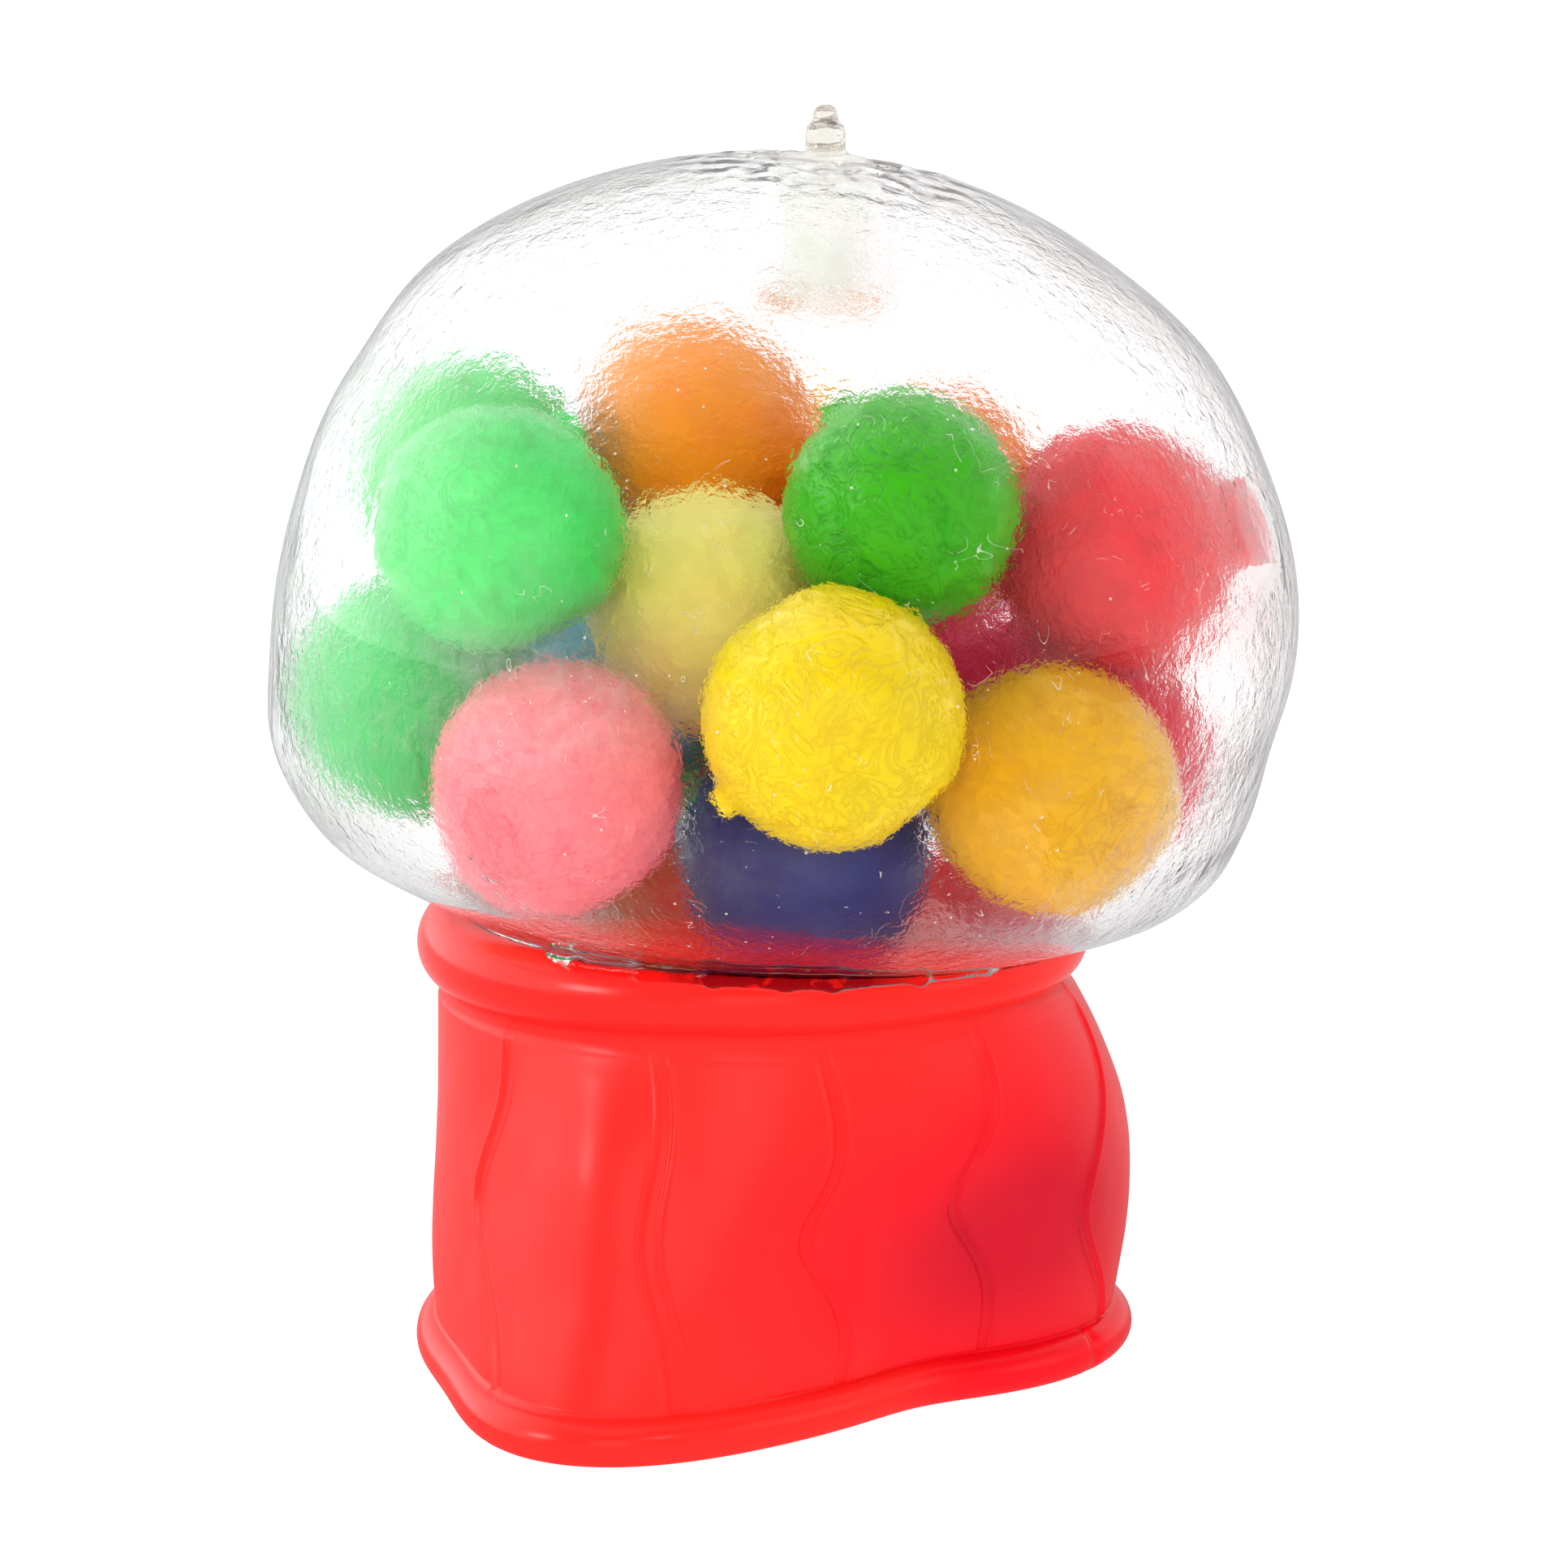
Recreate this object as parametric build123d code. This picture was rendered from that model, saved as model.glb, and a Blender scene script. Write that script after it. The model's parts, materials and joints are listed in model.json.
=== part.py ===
from build123d import *
import os
from math import cos, exp, hypot, pi, radians, sin

# Soft squeeze toy shaped like a gumball machine. All sizes in mm.
# Frame: +Z up, the front faces -Y, +X to the right as seen from the front,
# origin on the ground under the middle of the globe.

os.makedirs("parts", exist_ok=True)

# ---- globe: a thin bag, a little squarer than an ellipse ----
GLOBE_R = 50.5          # radius at the equator
GLOBE_Z = 71.5          # height of the equator
GLOBE_UP = 47.8         # equator to the top
GLOBE_DOWN = 34.5       # equator to the bottom
FULL_UP = 2.1           # exponent of the outline above the equator
FULL_DOWN = 2.4         # exponent of the outline below it
SKIN = 1.6              # thickness of the globe's skin

# ---- filler neck, turned inwards under the top of the globe ----
NECK_X = 4.0
NECK_OD = 13.6
NECK_ID = 9.0
NECK_BOTTOM = 104.5

# ---- filler plug ----
PLUG_GAP = 0.03         # radial gap to the neck
PLUG_BOTTOM = 106.0
NUB_D = 3.8
NUB_TOP = 122.0
TIP_D = 2.4
TIP_TOP = 123.9

# ---- base: hollow skirt with a collar bead and a foot bead, one moulding ----
COLLAR_X = -3.1         # the collar is set a little to the left
COLLAR_Z = 41.5
COLLAR_R = 29.5
COLLAR_TUBE = 3.6
DISH = 1.5              # plate under the globe
SKIRT_TOP = 39.0
SKIRT_WALL = 1.8
TOP_R = 31.0
FOOT_R = 34.0
FOOT_TUBE = 2.3
FOOT_Z = 2.15
BELLY = 2.3             # how far the sides stand out halfway down
# the soft skirt is pushed in on its front right, and stands out on its front left:
# amount at the foot, degrees from the front towards +X, width in degrees
BULGE = (9.3, -29.0, 23.0)
DENT = (9.5, 34.0, 36.0)
HOLLOW = (2.0, 33.0, 20.0)   # a deeper hollow a little above the foot
GROOVE_TUBE = 1.25
GROOVE_OUT = 0.70
# grooves: degrees at the top, degrees at the foot, swing to the left between
GROOVES = [(13, 9, 7), (43, 36, 11), (79, 68, 9), (114, 112, 4), (150, 150, 3),
           (186, 186, 3), (222, 222, 3), (260, 262, 4), (311, 312, 5), (343, 341, 4.5)]
SEAT_GAP = 0.05         # globe to base

# ---- clear glue round the seam ----
GLUE_R = 32.9
GLUE_TUBE = 1.35
GLUE_X = -2.65
GLUE_Z = 42.95
GLUE_TILT = 2.3

# ---- gumballs: soft skins with a cut and sealed neck, each full of gel ----
BALL_SKIN = 0.8
FILL_GAP = 0.02
NECK_D = 4.0
NECK_LEN = 1.3

# name, x, y, z, radius, direction of the neck (turn from +X, rise), neck size
BALLS = [
    ("yellow", 4.5, -36.0, 70.5, 12.2, 180, -38, 3.0, 1.2),
    ("pink", -21.0, -27.5, 62.5, 12.0, 90, -45, NECK_D, NECK_LEN),
    ("amber", 25.0, -23.5, 61.5, 11.9, 135, 30, NECK_D, NECK_LEN),
    ("green_front", 11.0, -20.5, 87.5, 11.3, 135, 45, NECK_D, NECK_LEN),
    ("tan", -7.0, -9.0, 76.0, 12.2, 30, -30, NECK_D, NECK_LEN),
    ("orange_top", -8.5, 11.5, 90.0, 12.0, 135, 45, NECK_D, NECK_LEN),
    ("orange_inner", 14.5, 7.0, 84.0, 11.8, 75, 45, NECK_D, NECK_LEN),
    ("red_right", 31.5, -10.0, 82.5, 11.8, 0, 10, 8.4, 1.6),
    ("red_inner", 33.5, 16.5, 74.5, 11.0, 120, 30, NECK_D, NECK_LEN),
    ("crimson", 31.0, -1.0, 60.5, 11.0, 135, -30, NECK_D, NECK_LEN),
    ("green_mid", -26.5, -21.0, 85.5, 11.8, 45, 45, NECK_D, NECK_LEN),
    ("green_top", -31.0, 4.0, 88.0, 11.4, 120, -45, NECK_D, NECK_LEN),
    ("green_low", -35.5, -7.5, 67.5, 12.0, 105, 0, NECK_D, NECK_LEN),
    ("navy", 2.0, -17.5, 54.0, 12.2, 150, 0, NECK_D, NECK_LEN),
    ("blue_back", -20.5, 29.5, 78.0, 12.0, 30, 60, NECK_D, NECK_LEN),
    ("blue_inner", -18.5, 9.5, 64.5, 11.8, 150, -45, NECK_D, NECK_LEN),
    ("red_low", 2.0, 7.0, 52.0, 11.8, 90, 75, NECK_D, NECK_LEN),
    ("magenta_back", 18.5, 27.0, 60.0, 11.8, 75, 45, NECK_D, NECK_LEN),
    ("amber_back", 4.5, 30.0, 79.5, 11.8, 90, 75, NECK_D, NECK_LEN),
    ("green_back", -5.5, 29.5, 57.5, 11.8, 75, 30, NECK_D, NECK_LEN),
]


def egg(grow):
    """Solid of the globe's outline, grown by the given amount."""
    a = GLOBE_R + grow
    up = GLOBE_UP + grow
    down = GLOBE_DOWN + grow
    n = 14

    def arc(height, power, sign):
        pts = []
        for i in range(n + 1):
            t = pi / 2 * i / n
            pts.append((a * cos(t) ** (2 / power), 0,
                        GLOBE_Z + sign * height * sin(t) ** (2 / power)))
        pts[-1] = (0, 0, GLOBE_Z + sign * height)
        return pts

    top = Spline(*arc(up, FULL_UP, 1), tangents=[(0, 0, 1), (-1, 0, 0)])
    low = Spline(*arc(down, FULL_DOWN, -1), tangents=[(0, 0, -1), (-1, 0, 0)])
    axis = Line((0, 0, GLOBE_Z - down), (0, 0, GLOBE_Z + up))
    return revolve(Face(Wire([top, low, axis])), Axis.Z, 360)


def peg(x, y, radius, z0, z1):
    return Pos(x, y, z0) * Cylinder(radius, z1 - z0,
                                    align=(Align.CENTER, Align.CENTER, Align.MIN))


def hump(turn, spot):
    amount, middle, width = spot
    d = (turn - middle + 180) % 360 - 180
    return amount * exp(-(d / width) ** 2)


def skirt_line(turn, s):
    """Point of the skirt's outside, seen from above, at a share s of the way down."""
    s = max(-0.1, min(1.1, s))
    t = max(0, min(1, s))
    r = (TOP_R + (FOOT_R - TOP_R) * s + BELLY * sin(pi * t) ** 0.9
         + hump(turn, BULGE) * t ** 1.3 - hump(turn, DENT) * t ** 1.2
         - hump(turn, HOLLOW) * exp(-((t - 0.65) / 0.22) ** 2))
    low = max(0, min(1, (t - 0.6) / 0.4))
    cx = COLLAR_X * (1 - sin(pi / 2 * min(1, 2 * t))) - 0.6 * low * low * (3 - 2 * low)
    return cx + r * sin(radians(turn)), -r * cos(radians(turn))


def skirt_point(turn, z, out=0):
    """The same in 3-D, moved outwards by the given amount."""
    s = (SKIRT_TOP - z) / (SKIRT_TOP - FOOT_Z)
    x, y = skirt_line(turn, s)
    xa, ya = skirt_line(turn - 1, s)
    xb, yb = skirt_line(turn + 1, s)
    length = hypot(xb - xa, yb - ya)
    return (x + out * (yb - ya) / length, y - out * (xb - xa) / length, z)


def groove_point(groove, z):
    top, foot, swing = groove
    s = (SKIRT_TOP - z) / (SKIRT_TOP - FOOT_Z)
    turn = top + (foot - top) * s - swing * exp(-((s - 0.5) / 0.24) ** 2)
    return skirt_point(turn, z, GROOVE_OUT)


def skirt(out, z0, z1):
    rings = []
    steps = 6
    for i in range(steps + 1):
        z = z0 + (z1 - z0) * i / steps
        pts = [skirt_point(15 * k, z, out) for k in range(24)]
        rings.append(Face(Wire([Spline(*pts, periodic=True)])))
    return loft(rings)


def save(solid, name):
    solid.label = name
    export_step(solid, "parts/" + name + ".step")
    print(name, len(solid.solids()), solid.is_valid, round(solid.volume, 1))


# ---- globe skin ----
outside = egg(0)
tube = peg(NECK_X, 0, NECK_OD / 2, NECK_BOTTOM, 125) & outside
globe = (outside - egg(-SKIN)) + tube
globe -= peg(NECK_X, 0, NECK_ID / 2, NECK_BOTTOM - 5, 130)
save(globe, "globe_skin")

# ---- plug ----
skin_top = GLOBE_Z + GLOBE_UP - 0.1
plug = peg(NECK_X, 0, NECK_ID / 2 - PLUG_GAP, PLUG_BOTTOM, skin_top)
plug += peg(NECK_X, 0, NUB_D / 2, skin_top - 1, NUB_TOP)
plug += peg(NECK_X, 0, TIP_D / 2, NUB_TOP - 1, TIP_TOP)
plug = fillet(plug.edges().filter_by(GeomType.CIRCLE).sort_by(Axis.Z)[-1], 0.9)
save(plug, "filler_plug")

# ---- base ----
seat = egg(SEAT_GAP)
collar = Pos(COLLAR_X, 0, COLLAR_Z) * Torus(COLLAR_R, COLLAR_TUBE)
dish = egg(SEAT_GAP + DISH) & peg(COLLAR_X, 0, COLLAR_R, 30, COLLAR_Z + 1)
wall = skirt(0, FOOT_Z, SKIRT_TOP)
for groove in GROOVES:
    path = Spline(*[groove_point(groove, z)
                    for z in (SKIRT_TOP + 2, 34, 29, 24.5, 20.5, 16.5, 12, 7, FOOT_Z - 1)])
    start = Plane(origin=path @ 0, z_dir=path % 0)
    wall -= sweep(start * Circle(GROOVE_TUBE), path)
wall -= skirt(-SKIRT_WALL, FOOT_Z - 1, SKIRT_TOP + 1)
foot_path = Wire([Spline(*[skirt_point(15 * k, FOOT_Z) for k in range(24)], periodic=True)])
foot = sweep(Plane(origin=foot_path @ 0, z_dir=foot_path % 0) * Circle(FOOT_TUBE),
             foot_path)
foot -= Pos(0, 0, -10) * Box(200, 200, 20)
base = wall + foot + collar + dish - seat
save(base, "base_skin")

# ---- glue ----
glue = Pos(GLUE_X, 0, GLUE_Z) * Rot(0, GLUE_TILT, 0) * Torus(GLUE_R, GLUE_TUBE)
glue = glue - egg(SEAT_GAP) - Pos(COLLAR_X, 0, COLLAR_Z) * Torus(
    COLLAR_R, COLLAR_TUBE + SEAT_GAP)
save(glue, "seam_glue")

# ---- gumballs ----
for name, x, y, z, r, turn, rise, neck_d, neck_len in BALLS:
    aim = Plane(origin=(x, y, z), z_dir=(cos(radians(rise)) * cos(radians(turn)),
                                         cos(radians(rise)) * sin(radians(turn)),
                                         sin(radians(rise))))
    skin = Sphere(r) + peg(0, 0, neck_d / 2, r - 2, r + neck_len)
    skin -= peg(0, 0, neck_d / 2 - 0.8, r + neck_len - 0.9, r + neck_len + 1)
    skin -= Sphere(r - BALL_SKIN)
    save(aim * skin, "ball_" + name + "_skin")
    save(Pos(x, y, z) * Sphere(r - BALL_SKIN - FILL_GAP), "ball_" + name + "_gel")
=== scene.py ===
import json
import math

import bpy
import numpy as np
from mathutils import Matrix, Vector

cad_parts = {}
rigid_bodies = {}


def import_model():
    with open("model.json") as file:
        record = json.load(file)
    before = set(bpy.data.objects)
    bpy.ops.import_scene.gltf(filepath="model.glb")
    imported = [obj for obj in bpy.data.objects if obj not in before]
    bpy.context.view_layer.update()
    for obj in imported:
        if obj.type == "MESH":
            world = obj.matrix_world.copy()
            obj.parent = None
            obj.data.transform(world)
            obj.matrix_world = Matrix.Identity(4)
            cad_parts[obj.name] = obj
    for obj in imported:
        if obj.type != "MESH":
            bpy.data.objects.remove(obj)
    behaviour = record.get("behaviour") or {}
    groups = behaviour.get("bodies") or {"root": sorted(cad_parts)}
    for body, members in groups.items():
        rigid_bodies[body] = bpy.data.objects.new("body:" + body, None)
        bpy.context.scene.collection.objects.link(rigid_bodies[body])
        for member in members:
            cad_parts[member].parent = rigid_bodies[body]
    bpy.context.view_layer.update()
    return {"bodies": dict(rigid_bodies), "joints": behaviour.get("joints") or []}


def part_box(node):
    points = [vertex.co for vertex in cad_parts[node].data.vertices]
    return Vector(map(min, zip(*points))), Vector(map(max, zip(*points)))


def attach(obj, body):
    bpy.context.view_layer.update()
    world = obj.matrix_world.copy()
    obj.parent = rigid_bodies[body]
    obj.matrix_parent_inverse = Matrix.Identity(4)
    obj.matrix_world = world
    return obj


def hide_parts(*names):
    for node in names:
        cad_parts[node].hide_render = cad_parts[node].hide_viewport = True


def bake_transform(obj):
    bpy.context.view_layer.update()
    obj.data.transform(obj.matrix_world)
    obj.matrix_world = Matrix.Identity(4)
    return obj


MM = 0.001
TURN = 2 * math.pi

# ---------------------------------------------------------------- camera
AIM = Vector((0, 0, 57.33 * MM))
LIFT = math.radians(11)
FAR = 0.520             # metres from the camera to its aim
cam_data = bpy.data.cameras.new("camera")
cam_data.lens = 121.1
cam_data.sensor_width = 36
cam_data.clip_start = 0.01
cam_data.clip_end = 20
camera = bpy.data.objects.new("camera", cam_data)
bpy.context.scene.collection.objects.link(camera)
camera.location = AIM + Vector((0, -math.cos(LIFT), math.sin(LIFT))) * FAR
camera.rotation_euler = (math.pi / 2 - LIFT, 0, 0)
bpy.context.scene.camera = camera

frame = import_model()
JOINTS = {j["name"]: j for j in frame["joints"]}
BALLS = [b[5:] for b in frame["bodies"] if b.startswith("ball_")]


# ---------------------------------------------------------------- helpers
def step(x, lo, hi):
    t = np.clip((x - lo) / (hi - lo), 0, 1)
    return t * t * (3 - 2 * t)


def hump(x, middle, width):
    return np.exp(-(((x - middle) / width) ** 2))


def noise3(p, size, seed=0):
    """Smooth noise from -1 to 1 at points p (metres), with features of about size mm."""
    q = np.asarray(p, float) / (size * MM) + 1000.37 + seed * 17.13
    i = np.floor(q).astype(np.int64)
    f = q - i
    f = f * f * (3 - 2 * f)
    total = 0
    for dx in (0, 1):
        for dy in (0, 1):
            for dz in (0, 1):
                h = ((i[..., 0] + dx) * 73856093 ^ (i[..., 1] + dy) * 19349663
                     ^ (i[..., 2] + dz) * 83492791 ^ (seed * 2654435 + 97)) & 0xFFFFFFFF
                h = ((h ^ (h >> 13)) * 1274126177) & 0xFFFFFFFF
                h = h ^ (h >> 16)
                v = (h & 0xFFFF) / 32767.5 - 1
                w = ((f[..., 0] if dx else 1 - f[..., 0])
                     * (f[..., 1] if dy else 1 - f[..., 1])
                     * (f[..., 2] if dz else 1 - f[..., 2]))
                total = total + v * w
    return total


def layers(p, size, seed=0, count=3):
    """Noise with finer noise on top, each layer half the size and half the height."""
    return sum(noise3(p, size / 2 ** k, seed + k) / 2 ** k for k in range(count)) / 1.5


def unwrap(a):
    """Degrees brought into -180 to 180."""
    return (a + 180) % 360 - 180


def grid_faces(rows, cols, flip=False):
    """Quads between closed rings, rows rings of cols points, row by row."""
    r = np.arange(rows - 1)[:, None] * cols
    c = np.arange(cols)[None, :]
    d = (c + 1) % cols
    quads = np.stack([r + c, r + d, r + cols + d, r + cols + c], -1).reshape(-1, 4)
    return [tuple(q) for q in (quads[:, ::-1] if flip else quads)]


def hoop_faces(rows, cols):
    """The same for a stack of rings whose last ring joins its first, as in a hoop."""
    last = (rows - 1) * cols
    return grid_faces(rows, cols, True) + [
        (last + (c + 1) % cols, last + c, c, (c + 1) % cols) for c in range(cols)]


def make_mesh(name, verts, faces, mats, face_mat=None, smooth=True, attributes=None):
    mesh = bpy.data.meshes.new(name)
    mesh.from_pydata([tuple(v) for v in verts], [], [tuple(f) for f in faces])
    for m in mats:
        mesh.materials.append(m)
    if face_mat is not None:
        mesh.polygons.foreach_set("material_index", np.asarray(face_mat, np.int32))
    mesh.polygons.foreach_set("use_smooth", np.full(len(mesh.polygons), smooth))
    for key, values in (attributes or {}).items():
        a = mesh.attributes.new(key, "FLOAT", "POINT")
        a.data.foreach_set("value", np.asarray(values, np.float32))
    mesh.update()
    obj = bpy.data.objects.new(name, mesh)
    bpy.context.scene.collection.objects.link(obj)
    return obj


def closed_rings(rings, flip=False):
    """Vertices and faces of a stack of rings closed at both ends by a fan."""
    rings = np.asarray(rings)
    n, m = rings.shape[:2]
    verts = np.concatenate([rings.reshape(-1, 3), [rings[0].mean(0)], [rings[-1].mean(0)]])
    faces = grid_faces(n, m, flip)
    a, b = n * m, n * m + 1
    for c in range(m):
        d = (c + 1) % m
        one = (a, d, c)
        two = (b, (n - 1) * m + c, (n - 1) * m + d)
        faces.append(one[::-1] if flip else one)
        faces.append(two[::-1] if flip else two)
    return verts, faces


# ---------------------------------------------------------------- material helper
class Nodes:
    """A material, and short ways to add and join its nodes."""

    def __init__(self, name):
        self.mat = bpy.data.materials.new(name)
        self.mat.use_nodes = True
        self.tree = self.mat.node_tree
        self.tree.nodes.clear()
        self.out = self.tree.nodes.new("ShaderNodeOutputMaterial")

    def add(self, kind, **sets):
        n = self.tree.nodes.new("ShaderNode" + kind)
        for k, v in sets.items():
            if k in ("operation", "attribute_name"):
                setattr(n, k, v)
            elif isinstance(v, bpy.types.NodeSocket):
                self.tree.links.new(v, n.inputs[k.replace("_", " ")])
            else:
                n.inputs[k.replace("_", " ")].default_value = v
        return n

    def link(self, a, b):
        self.tree.links.new(a, b)

    def place(self):
        return self.add("TexCoord").outputs["Object"]

    def along(self, axis):
        """The X, Y or Z of the place, in metres."""
        n = self.add("SeparateXYZ")
        self.link(self.place(), n.inputs[0])
        return n.outputs[axis]

    def field(self, name):
        return self.add("Attribute", attribute_name=name).outputs["Fac"]

    def noise(self, scale, detail=3, rough=0.5, distortion=0.0, vector=None):
        n = self.add("TexNoise", Scale=scale, Detail=detail, Roughness=rough,
                     Distortion=distortion)
        self.link(vector or self.place(), n.inputs["Vector"])
        return n.outputs["Fac"]

    def math(self, op, a, b=None):
        n = self.add("Math", operation=op)
        for i, v in enumerate((a, b)):
            if v is None:
                continue
            if isinstance(v, bpy.types.NodeSocket):
                self.link(v, n.inputs[i])
            else:
                n.inputs[i].default_value = v
        return n.outputs[0]

    def times(self, *values):
        total = values[0]
        for v in values[1:]:
            total = self.math("MULTIPLY", total, v)
        return total

    def ramp(self, fac, *stops):
        n = self.add("ValToRGB")
        e = n.color_ramp.elements
        while len(e) < len(stops):
            e.new(0.5)
        for i, (pos, col) in enumerate(stops):
            e[i].position = pos
            e[i].color = tuple(col) + (1,)
        self.link(fac, n.inputs["Fac"])
        return n.outputs["Color"]

    def range(self, v, a, b, c, d):
        """v, from a to b, brought to c to d and held there beyond the ends."""
        n = self.add("MapRange")
        n.clamp = True
        self.link(v, n.inputs["Value"])
        for key, val in zip(("From Min", "From Max", "To Min", "To Max"), (a, b, c, d)):
            n.inputs[key].default_value = val
        return n.outputs["Result"]

    def bump(self, height, strength, distance):
        n = self.add("Bump", Strength=strength, Distance=distance)
        self.link(height, n.inputs["Height"])
        return n.outputs["Normal"]

    def shader(self, s):
        self.link(s, self.out.inputs["Surface"])
        return self.mat

    def mix(self, fac, a, b):
        n = self.add("MixShader")
        if isinstance(fac, bpy.types.NodeSocket):
            self.link(fac, n.inputs[0])
        else:
            n.inputs[0].default_value = fac
        self.link(a, n.inputs[1])
        self.link(b, n.inputs[2])
        return n.outputs[0]


# ---------------------------------------------------------------- globe shape
# all in mm
GLOBE_R, GLOBE_Z, GLOBE_UP, GLOBE_DOWN = 50.5, 71.5, 47.8, 34.5
FULL_UP, FULL_DOWN = 2.1, 2.4    # exponents of the outline above and below the equator
SKIN = 1.6
NECK_X, NECK_OD, NECK_ID, NECK_BOTTOM = 4.0, 13.6, 9.0, 104.5


def globe_ring(level, turns, inset=0.0):
    """One ring of the globe in mm.

    level runs from -1 (bottom pole) to 1 (top pole), and turns are degrees from the front
    towards +X.
    """
    t = level * math.pi / 2
    power = FULL_UP if level >= 0 else FULL_DOWN
    height = (GLOBE_UP if level >= 0 else GLOBE_DOWN) - inset
    r = (GLOBE_R - inset) * max(math.cos(t), 0) ** (2 / power)
    z = GLOBE_Z + math.copysign(height * abs(math.sin(t)) ** (2 / power), level)
    a = np.radians(turns)
    r = np.maximum(r - tuck(z, turns), 0.2 * r)
    x = lean(z) + r * np.sin(a)
    y = -r * np.cos(a)
    return np.stack([x, y, np.full_like(x, z)], -1)


def keep_outside(p, gap):
    """Push points (mm) out of the globe, away from its middle, to about gap mm from it."""
    for _ in range(24):
        x, y, z = p[:, 0] - lean(p[:, 2]), p[:, 1], np.minimum(p[:, 2], GLOBE_Z)
        depth = np.clip((GLOBE_Z - z) / GLOBE_DOWN, 0, 1)
        r = GLOBE_R * (1 - depth ** FULL_DOWN) ** (1 / FULL_DOWN)
        r = r - tuck(z, np.degrees(np.arctan2(x, -y)))
        inside = (np.hypot(x, y) < r + gap) & (depth < 1)
        away = p - np.array([0, 0, GLOBE_Z])
        away /= np.linalg.norm(away, axis=1, keepdims=True)
        p = p + away * (0.25 * inside)[:, None]
    return p


def lean(z):
    """How far the bag leans to the right, in mm, at a height: crown to the left, foot right."""
    return (-1.6 * step(z, 99, 111) + 0.3 * hump(z, 82, 9) - 1.15 * hump(z, 62, 6.5)
            + 3.6 * (1 - step(z, 42, 54)) + 0.5 * hump(z, 49, 4))


def tuck(z, turns):
    """How much narrower than the plain outline the bag is, in mm: drawn in above the seam."""
    a = np.radians(turns)
    front = np.maximum(np.cos(a), 0) ** 2
    right, left = np.maximum(np.sin(a), 0) ** 2, np.maximum(-np.sin(a), 0) ** 2
    seam = (np.minimum((3.0 + 2.5 * front) * (np.maximum(55 - z, 0) / 10) ** 2, 6.5)
            * step(z, 37.5, 42))
    seam = seam + 5.4 * right * (1 - step(z, 41, 46.5)) * step(z, 37.5, 41)
    seam = seam + 1.4 * left * hump(z, 48.5, 4)
    slack = 0.3 + 0.35 * hump(z, 88, 8) + 0.4 * hump(z, 59, 8)
    return seam + slack * step(z, 45, 55) * (1 - step(z, 100, 112))


def keep_inside(p, inset):
    """Pull points (metres) back inside the globe, at least inset mm under its surface."""
    q = p / MM
    x, y, z = q[..., 0] - lean(q[..., 2]), q[..., 1], q[..., 2] - GLOBE_Z
    power = np.where(z > 0, FULL_UP, FULL_DOWN)
    high = np.where(z > 0, GLOBE_UP, GLOBE_DOWN) - inset
    across = np.hypot(x, y) + tuck(q[..., 2], np.degrees(np.arctan2(x, -y)))
    f = (across / (GLOBE_R - inset)) ** power + (np.abs(z) / high) ** power
    k = np.minimum(1, np.maximum(f, 1e-9) ** (-1 / power))
    return np.stack([x * k + lean(q[..., 2]), y * k, z * k + GLOBE_Z], -1) * MM


def globe_shell(inset, rows, cols):
    """All rings of the globe, inset mm under its surface."""
    turns = np.arange(cols) * 360 / cols
    levels = np.linspace(-1, 1, rows + 2)[1:-1]
    return np.array([globe_ring(l, turns, inset) for l in levels])


# middle and radius of each ball, from its gel and the skin round that
BALL_SKIN = 0.82
ball_at = {}
for n in BALLS:
    lo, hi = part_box("ball_" + n + "_gel")
    ball_at[n] = (np.array((lo + hi) / 2), (hi - lo).length / 2 / math.sqrt(3) + BALL_SKIN * MM)

# wet patches, where a ball clings to the skin: the ball, the direction from its middle,
# half the width and half the height in mm, and how ragged the edge is
PATCHES = [
    ("yellow", (0.0, -1, 0.02), 9.0, 8.6, 0.2),
    ("green_front", (-0.1, -1, 0.1), 10.0, 9.0, 0.3),
    ("amber", (0.20, -1, -0.08), 5.4, 4.6, 0.35),
    ("pink", (-0.42, -1, -0.28), 2.6, 5.0, 0.9),
    ("green_mid", (-0.88, -0.62, 0.06), 3.0, 4.8, 0.6),
    ("green_low", (-1.0, -0.32, 0.05), 2.6, 5.6, 1.1),
    ("red_right", (1.0, -0.48, 0.17), 6.2, 6.0, 0.25),
]


def wetness(p):
    """How wet the inside of the skin is at points p (metres): wet above a half."""
    wet = np.zeros(len(p))
    ragged = layers(p, 2.2, 5)
    for ball, aim, w, h, rag in PATCHES:
        aim = np.array(aim) / np.linalg.norm(aim)
        side = np.cross(aim, (0, 0, 1))
        side /= np.linalg.norm(side)
        up = np.cross(side, aim)
        d = p - ball_at[ball][0]
        front = d @ aim
        u, v = (d @ side) / (w * MM), (d @ up) / (h * MM)
        q = np.sqrt(u * u + v * v) + rag * ragged
        wet = np.maximum(wet, np.clip(1.5 - q, 0, 1) * (front > 0))
    return wet


# ---------------------------------------------------------------- materials
def film(p):
    """How milky the dry inside of the skin is at points p (metres), 0 to 1."""
    x, z = p[:, 0] / MM, p[:, 2] / MM
    left = 1 - step(x, -42, -26)
    low_right = step(x, 12, 24) * (1 - step(z, 56, 66))
    over_pink = hump(x, -22, 10) * hump(z, 73, 6)
    middle = hump(x, 8, 17) * step(z, 58, 68) * (1 - step(z, 96, 108))
    return np.clip(0.10 + 0.35 * left + 0.35 * low_right + 1.5 * over_pink - 0.3 * middle
                   + 0.5 * layers(p, 11, 21), 0, 1)


def light_passes(m, s, tint=(1, 1, 1, 1)):
    """Shadows and diffuse light go straight through a clear piece."""
    path = m.add("LightPath")
    through = m.math("MAXIMUM", path.outputs["Is Shadow Ray"], path.outputs["Is Diffuse Ray"])
    return m.mix(through, s, m.add("BsdfTransparent", Color=tint).outputs[0])


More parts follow.
